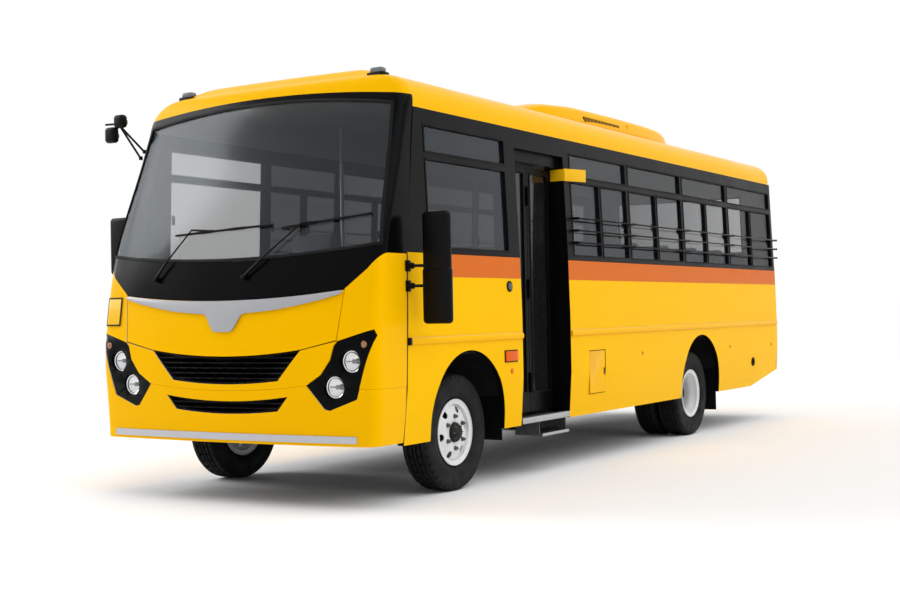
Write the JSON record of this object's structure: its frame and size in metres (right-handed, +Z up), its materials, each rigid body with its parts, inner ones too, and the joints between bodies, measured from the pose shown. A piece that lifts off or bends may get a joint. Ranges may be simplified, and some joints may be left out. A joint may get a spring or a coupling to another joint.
{
  "type": "school bus",
  "caption": "Front-engined school bus with a folding passenger door, steered front wheels, twin rear wheels, guarded side windows and a long air unit on the roof",
  "frame": {"origin": "on the ground, under the middle of the bus's bounding box", "axes": "+Z up; -Y towards the front of the bus; +X towards the passenger door"},
  "size_m": [2.915, 8.1301, 3.088],
  "materials": {
    "yellow_paint": "glossy school bus yellow enamel",
    "black_paint": "satin black enamel",
    "black_gloss": "glossy black moulding",
    "black_plastic": "grained black moulding",
    "trim_metal": "satin silver",
    "window_glass": "grey tinted",
    "lamp_glass": "clear over bright reflectors",
    "tyre": "matt",
    "wheel_paint": "silver white enamel",
    "chassis_paint": "matt black",
    "cast_parts": "rough",
    "spring_steel": "dark oiled",
    "floor_cover": "ribbed sheet",
    "step_metal": "worn tread plate",
    "seat_vinyl": "grained vinyl",
    "seat_steel": "satin grey",
    "flap_rubber": "matt",
    "exhaust_steel": "dull, heat stained"
  },
  "bodies": {
    "body": {"front_axle": "chassis_paint", "rear_axle": "cast_parts", "leaf_springs": "spring_steel", "chassis_frame": "chassis_paint", "engine": "cast_parts", "prop_shaft": "chassis_paint", "fuel_tank": "chassis_paint", "windscreen_surround": "black_gloss", "windshield": "window_glass", "front_bumper": "yellow_paint", "front_panel": "yellow_paint", "grilles": "black_plastic", "lamp_housings": "black_gloss", "lamps": "lamp_glass", "rear_shell": "yellow_paint", "rear_window": "window_glass", "roof": "yellow_paint", "side_left_front": "yellow_paint", "side_left_rear": "yellow_paint", "side_right": "yellow_paint", "belt_mouldings": "yellow_paint", "window_frame_left": "black_paint", "window_frame_right": "black_paint", "side_windows": "window_glass", "window_bars": "black_paint", "door_surround": "black_paint", "floor": "floor_cover", "wheelhouses": "chassis_paint", "steps": "step_metal", "dashboard": "black_plastic", "driver_controls": "black_plastic", "seat_cushions": "seat_vinyl", "seat_frames": "seat_steel", "driver_seat": "seat_vinyl", "roof_air_unit": "yellow_paint", "mirrors": "black_plastic", "wipers": "black_plastic", "mudflaps": "flap_rubber", "exhaust": "exhaust_steel"},
    "knuckle_left": {"knuckle_left": "cast_parts"},
    "knuckle_right": {"knuckle_right": "cast_parts"},
    "tie_rod": {"tie_rod": "chassis_paint"},
    "wheel_front_left": {"wheel_front_left": "wheel_paint", "tyre_front_left": "tyre"},
    "wheel_front_right": {"wheel_front_right": "wheel_paint", "tyre_front_right": "tyre"},
    "wheels_rear_left": {"wheels_rear_left": "wheel_paint", "tyres_rear_left": "tyre"},
    "wheels_rear_right": {"wheels_rear_right": "wheel_paint", "tyres_rear_right": "tyre"},
    "door_front_leaf": {"door_front_leaf": "black_paint", "door_front_glass": "window_glass"},
    "door_rear_leaf": {"door_rear_leaf": "black_paint", "door_rear_glass": "window_glass"},
    "front_flap": {"front_flap": "yellow_paint", "front_trim": "trim_metal"},
    "service_flap": {"service_flap": "yellow_paint"}
  },
  "joints": [
    {"name": "steer_left", "type": "hinge", "parent": "body", "child": "knuckle_left", "pos_m": [0.8, -2.844, 0.404], "axis": [0, 0, 1], "range_deg": [-35, 35]},
    {"name": "steer_right", "type": "hinge", "parent": "body", "child": "knuckle_right", "pos_m": [-0.8, -2.844, 0.404], "axis": [0, 0, 1], "range_deg": [-35, 35]},
    {"name": "tie_rod_pivot", "type": "hinge", "parent": "knuckle_left", "child": "tie_rod", "pos_m": [0.8, -2.674, 0.311], "axis": [0, 0, 1], "range_deg": [-35, 35]},
    {"name": "spin_front_left", "type": "hinge", "parent": "knuckle_left", "child": "wheel_front_left", "pos_m": [0.9485, -2.844, 0.404], "axis": [1, 0, 0], "continuous": true},
    {"name": "spin_front_right", "type": "hinge", "parent": "knuckle_right", "child": "wheel_front_right", "pos_m": [-0.9485, -2.844, 0.404], "axis": [1, 0, 0], "continuous": true},
    {"name": "spin_rear_left", "type": "hinge", "parent": "body", "child": "wheels_rear_left", "pos_m": [0.8355, 1.565, 0.404], "axis": [1, 0, 0], "continuous": true},
    {"name": "spin_rear_right", "type": "hinge", "parent": "body", "child": "wheels_rear_right", "pos_m": [-0.8355, 1.565, 0.404], "axis": [1, 0, 0], "continuous": true},
    {"name": "door_front_hinge", "type": "hinge", "parent": "body", "child": "door_front_leaf", "pos_m": [1, -2.056, 1.4], "axis": [0, 0, 1], "range_deg": [0, 80]},
    {"name": "door_fold_hinge", "type": "hinge", "parent": "door_front_leaf", "child": "door_rear_leaf", "pos_m": [1.025, -1.6875, 1.4], "axis": [0, 0, 1], "range_deg": [-160, 0]},
    {"name": "front_flap_hinge", "type": "hinge", "parent": "body", "child": "front_flap", "pos_m": [0, -4, 1.4], "axis": [-1, 0, 0], "range_deg": [0, 75]},
    {"name": "service_flap_hinge", "type": "hinge", "parent": "body", "child": "service_flap", "pos_m": [1.174, -0.957, 0.728], "axis": [0, 0, -1], "range_deg": [0, 100]}
  ],
  "couplings": [
    {"joint": "steer_right", "follows": "steer_left", "ratio": 1},
    {"joint": "tie_rod_pivot", "follows": "steer_left", "ratio": -1},
    {"joint": "door_fold_hinge", "follows": "door_front_hinge", "ratio": -2}
  ]
}
